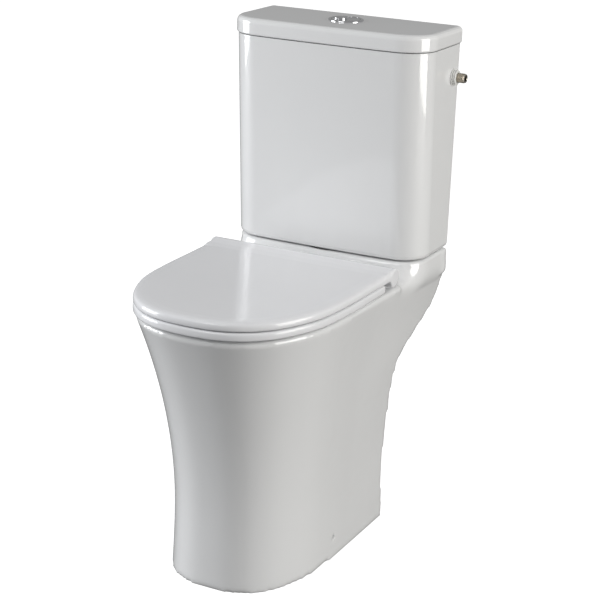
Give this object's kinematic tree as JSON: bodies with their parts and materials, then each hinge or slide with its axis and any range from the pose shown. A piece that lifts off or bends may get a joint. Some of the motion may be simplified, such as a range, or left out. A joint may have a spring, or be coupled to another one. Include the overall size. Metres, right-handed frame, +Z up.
{
  "type": "close coupled toilet",
  "caption": "Floor-standing close coupled toilet: skirted pan, cistern with lift-off lid, hinged seat ring and cover, dual flush button and side water inlet.",
  "frame": {"origin": "on the floor and the centre line, at the back edge of the foot, on the foot's back tie bar", "axes": "+Z up; the toilet faces -Y, so +Y points to the wall behind it; +X is to the right of someone who faces the toilet"},
  "size_m": [0.398, 0.615, 0.8985],
  "materials": {
    "glazed_ceramic": "white glaze",
    "seat_plastic": "white gloss duroplast",
    "bright_chrome": "polished",
    "white_plastic": "satin",
    "grey_plastic": "satin",
    "blue_plastic": "satin",
    "black_rubber": "matt",
    "soft_pad": "matt",
    "zinc_steel": "zinc plated",
    "nickel_brass": "nickel plated"
  },
  "bodies": {
    "toilet": {"pan_side_right": "glazed_ceramic", "pan_side_left": "glazed_ceramic", "pan_front": "glazed_ceramic", "pan_back": "glazed_ceramic", "pan_deck_right": "glazed_ceramic", "pan_deck_left": "glazed_ceramic", "pan_deck_front": "glazed_ceramic", "pan_ledge": "glazed_ceramic", "pan_bowl_front": "glazed_ceramic", "pan_bowl_rear": "glazed_ceramic", "pan_trap_dip": "glazed_ceramic", "pan_trap_crown": "glazed_ceramic", "pan_trap_outlet": "glazed_ceramic", "pan_duct": "glazed_ceramic", "cistern": "glazed_ceramic", "hinge_post_right": "bright_chrome", "hinge_post_left": "bright_chrome", "hinge_pin_right": "zinc_steel", "hinge_pin_left": "zinc_steel", "hinge_pads": "soft_pad", "seat_studs": "zinc_steel", "seat_fixing_washers": "black_rubber", "seat_wing_nuts": "white_plastic", "flush_valve_washer": "black_rubber", "flush_valve_backnut": "white_plastic", "close_coupling_seal": "black_rubber", "flush_valve_body": "white_plastic", "rocker_pin": "zinc_steel", "inlet_shank": "nickel_brass", "inlet_washer": "black_rubber", "inlet_backnut": "white_plastic", "fill_valve_body": "white_plastic", "float_arm_pin": "zinc_steel", "blanking_plug": "white_plastic", "blanking_plug_nut": "white_plastic", "cistern_bolts": "zinc_steel", "cistern_bolt_seals": "black_rubber", "cistern_rest_washers": "black_rubber", "cistern_bolt_washers": "zinc_steel", "cistern_wing_nuts": "white_plastic"},
    "seat_ring": {"seat_ring": "seat_plastic", "seat_ring_buffers": "soft_pad"},
    "seat_cover": {"seat_cover": "seat_plastic", "seat_cover_buffers": "soft_pad"},
    "lid": {"cistern_lid": "glazed_ceramic", "button_bezel": "bright_chrome", "button_nut": "white_plastic"},
    "full_button": {"full_flush_button": "bright_chrome", "full_flush_rod": "white_plastic"},
    "half_button": {"half_flush_button": "bright_chrome", "half_flush_rod": "blue_plastic"},
    "full_rocker": {"full_flush_rocker": "white_plastic"},
    "half_rocker": {"half_flush_rocker": "blue_plastic"},
    "piston": {"overflow_tube": "grey_plastic", "flush_valve_seal": "black_rubber"},
    "half_lifter": {"half_flush_sleeve": "blue_plastic"},
    "float_arm": {"float_arm": "white_plastic", "float": "grey_plastic"}
  },
  "joints": [
    {"name": "seat_ring_hinge", "type": "hinge", "parent": "toilet", "child": "seat_ring", "pos_m": [0, -0.097, 0.491], "axis": [-1, 0, 0], "range_deg": [0, 93]},
    {"name": "seat_cover_hinge", "type": "hinge", "parent": "seat_ring", "child": "seat_cover", "pos_m": [0, -0.097, 0.491], "axis": [1, 0, 0], "range_deg": [-93, 0]},
    {"name": "cistern_lid_lift", "type": "slide", "parent": "toilet", "child": "lid", "axis": [0, 0, 1], "range_m": [0, 0.15]},
    {"name": "full_button_press", "type": "slide", "parent": "lid", "child": "full_button", "axis": [0, 0, -1], "range_m": [0, 0.006], "stiffness_N_per_m": 200, "springref_m": -0.004},
    {"name": "half_button_press", "type": "slide", "parent": "lid", "child": "half_button", "axis": [0, 0, -1], "range_m": [0, 0.006], "stiffness_N_per_m": 200, "springref_m": -0.004},
    {"name": "full_rocker_turn", "type": "hinge", "parent": "toilet", "child": "full_rocker", "pos_m": [0, 0.038, 0.712], "axis": [0, 1, 0], "range_deg": [0, 23.5]},
    {"name": "half_rocker_turn", "type": "hinge", "parent": "toilet", "child": "half_rocker", "pos_m": [0, 0.038, 0.712], "axis": [0, -1, 0], "range_deg": [0, 23.5]},
    {"name": "piston_lift", "type": "slide", "parent": "toilet", "child": "piston", "axis": [0, 0, 1], "range_m": [0, 0.0085]},
    {"name": "half_lifter_lift", "type": "slide", "parent": "toilet", "child": "half_lifter", "axis": [0, 0, 1], "range_m": [0, 0.0085]},
    {"name": "float_arm_swing", "type": "hinge", "parent": "toilet", "child": "float_arm", "pos_m": [0.1368, 0.088, 0.807], "axis": [0, 1, 0], "range_deg": [0, 28]}
  ],
  "couplings": [
    {"joint": "full_rocker_turn", "follows": "full_button_press", "rad_per_m": 66.667},
    {"joint": "piston_lift", "follows": "full_button_press", "ratio": 1.4},
    {"joint": "half_rocker_turn", "follows": "half_button_press", "rad_per_m": 66.667},
    {"joint": "half_lifter_lift", "follows": "half_button_press", "ratio": 1.4}
  ]
}
